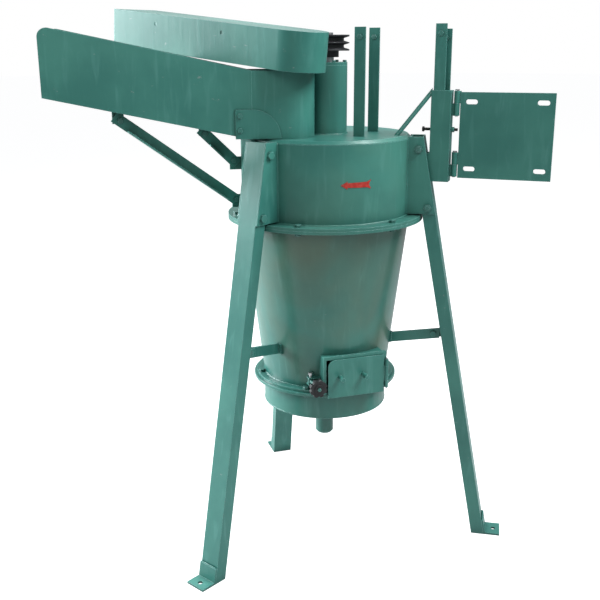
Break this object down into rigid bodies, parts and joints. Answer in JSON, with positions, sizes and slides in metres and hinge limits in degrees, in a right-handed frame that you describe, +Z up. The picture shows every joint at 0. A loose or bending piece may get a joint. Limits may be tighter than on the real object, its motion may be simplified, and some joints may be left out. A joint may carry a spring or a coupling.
{
  "type": "hammer mill",
  "caption": "Vertical-shaft hammer mill: round grinding drum on a conical hopper with a clean-out hatch, splayed tube legs, sloping feed chute, belt pulley and hinged motor plate.",
  "frame": {"origin": "on the floor, at the centre of the circle of floor bolt holes, straight below the drum axis", "axes": "+Z up along the shaft; -Y is the side the hatch and the front leg face; +X towards the motor plate"},
  "size_m": [1.2932, 0.9746, 1.5433],
  "materials": {
    "paint": "glossy sea-green paint",
    "hard_steel": "dull worn steel",
    "bright_steel": "turned steel",
    "pulley_black": "black painted casting",
    "knob_black": "moulded black plastic",
    "dark_bolt": "black oxide",
    "arrow_red": "red paint"
  },
  "bodies": {
    "frame": {"drum_shell": "paint", "drum_flange": "paint", "top_plate": "paint", "wear_liner": "hard_steel", "screen": "bright_steel", "cone_flange": "paint", "cone_shell": "paint", "cone_bottom_flange": "paint", "base_flange": "paint", "base_cylinder": "paint", "bottom_plate": "paint", "outlet_pipe": "paint", "flange_bolts": "paint", "leg_right": "paint", "leg_rear": "paint", "leg_left": "paint", "foot_plates": "paint", "bracket_right": "paint", "bracket_rear": "paint", "bracket_left": "paint", "leg_bolts": "paint", "strut_right": "paint", "strut_rear": "paint", "strut_left": "paint", "strut_bolts": "paint", "inlet_housing": "paint", "inlet_ears": "paint", "feed_chute": "paint", "chute_bolts": "paint", "chute_brace_long": "paint", "chute_brace_short": "paint", "bearing_housing": "paint", "top_bearing_cap": "paint", "bottom_bearing_cap": "paint", "cap_bolts": "paint", "bearing_outer_rings": "bright_steel", "guard_posts": "paint", "post_bolts": "paint", "motor_column": "paint", "column_brace": "paint", "hinge_pins": "bright_steel", "door_frame": "paint", "rotation_arrow": "arrow_red"},
    "rotor": {"shaft": "bright_steel", "pulley": "pulley_black", "bearing_inner_sets": "bright_steel", "rotor_hub": "hard_steel", "rotor_discs": "hard_steel", "hammer_pins": "bright_steel"},
    "hammers_1": {"hammer_stack_1": "hard_steel"},
    "hammers_2": {"hammer_stack_2": "hard_steel"},
    "hammers_3": {"hammer_stack_3": "hard_steel"},
    "hammers_4": {"hammer_stack_4": "hard_steel"},
    "motor_mount": {"motor_plate": "paint"},
    "tension_screw": {"tension_bolt": "dark_bolt"},
    "guard": {"belt_guard": "paint"},
    "door": {"hatch_door": "paint"},
    "clamp": {"clamp_bolt": "bright_steel"},
    "knob": {"star_knob": "knob_black"}
  },
  "joints": [
    {"name": "rotor_spin", "type": "hinge", "parent": "frame", "child": "rotor", "pos_m": [0, 0, 1.1], "axis": [0, 0, 1], "continuous": true},
    {"name": "hammer_swing_1", "type": "hinge", "parent": "rotor", "child": "hammers_1", "pos_m": [0.138, 0, 1.08], "axis": [0, 0, 1], "range_deg": [-100, 100]},
    {"name": "hammer_swing_2", "type": "hinge", "parent": "rotor", "child": "hammers_2", "pos_m": [0, 0.138, 1.08], "axis": [0, 0, 1], "range_deg": [-100, 100]},
    {"name": "hammer_swing_3", "type": "hinge", "parent": "rotor", "child": "hammers_3", "pos_m": [-0.138, 0, 1.08], "axis": [0, 0, 1], "range_deg": [-100, 100]},
    {"name": "hammer_swing_4", "type": "hinge", "parent": "rotor", "child": "hammers_4", "pos_m": [0, -0.138, 1.08], "axis": [0, 0, 1], "range_deg": [-100, 100]},
    {"name": "motor_plate_hinge", "type": "hinge", "parent": "frame", "child": "motor_mount", "pos_m": [0.36157, 0.038, 1.2], "axis": [0, 0, 1], "range_deg": [-60, 60]},
    {"name": "tension_bolt_travel", "type": "slide", "parent": "frame", "child": "tension_screw", "axis": [1, 0, 0], "range_m": [-0.008, 0.003]},
    {"name": "guard_lift", "type": "slide", "parent": "frame", "child": "guard", "axis": [0, 0, 1], "range_m": [0, 0.12]},
    {"name": "hatch_hinge", "type": "hinge", "parent": "frame", "child": "door", "pos_m": [0.22119, -0.11094, 0.544], "axis": [0, 0, 1], "range_deg": [0, 110]},
    {"name": "clamp_swing", "type": "hinge", "parent": "frame", "child": "clamp", "pos_m": [0.02271, -0.19799, 0.528], "axis": [0, 0, 1], "range_deg": [-90, 0]},
    {"name": "knob_spin", "type": "hinge", "parent": "clamp", "child": "knob", "pos_m": [0.05965, -0.24527, 0.528], "axis": [0.6157, -0.788, 0], "continuous": true}
  ]
}
